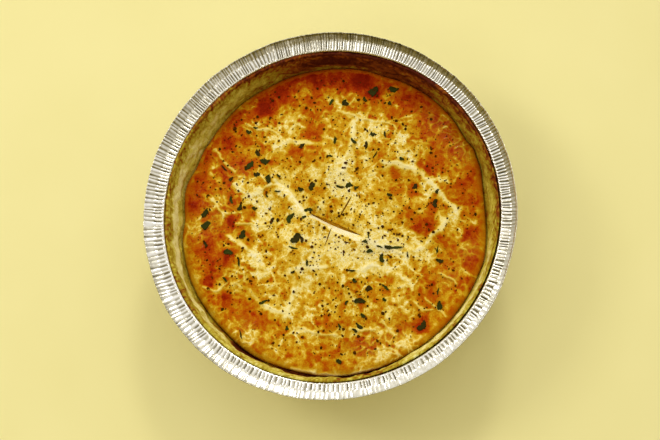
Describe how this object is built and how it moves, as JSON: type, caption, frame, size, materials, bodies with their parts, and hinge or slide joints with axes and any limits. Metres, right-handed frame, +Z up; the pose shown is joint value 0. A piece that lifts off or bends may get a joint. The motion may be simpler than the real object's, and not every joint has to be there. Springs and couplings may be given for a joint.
{
  "type": "pot pie",
  "caption": "Round pot pie in a crimped foil tin: pastry wall lining the tin, browned top crust with a cross-cut vent and herb flakes, set below the rim.",
  "frame": {"origin": "middle of the tin's flat underside, on the surface it stands on", "axes": "+Z up out of the tin; +X to the right and +Y to the far side as the pie is seen from above in the picture"},
  "size_m": [0.1819, 0.1809, 0.045],
  "materials": {
    "foil": "bright crumpled foil",
    "pastry": "pale dry shortcrust",
    "crust": "browned egg-washed pastry with a low gloss"
  },
  "bodies": {
    "root": {"foil_tin": "foil", "pastry_case": "pastry", "top_crust": "crust"}
  },
  "joints": []
}
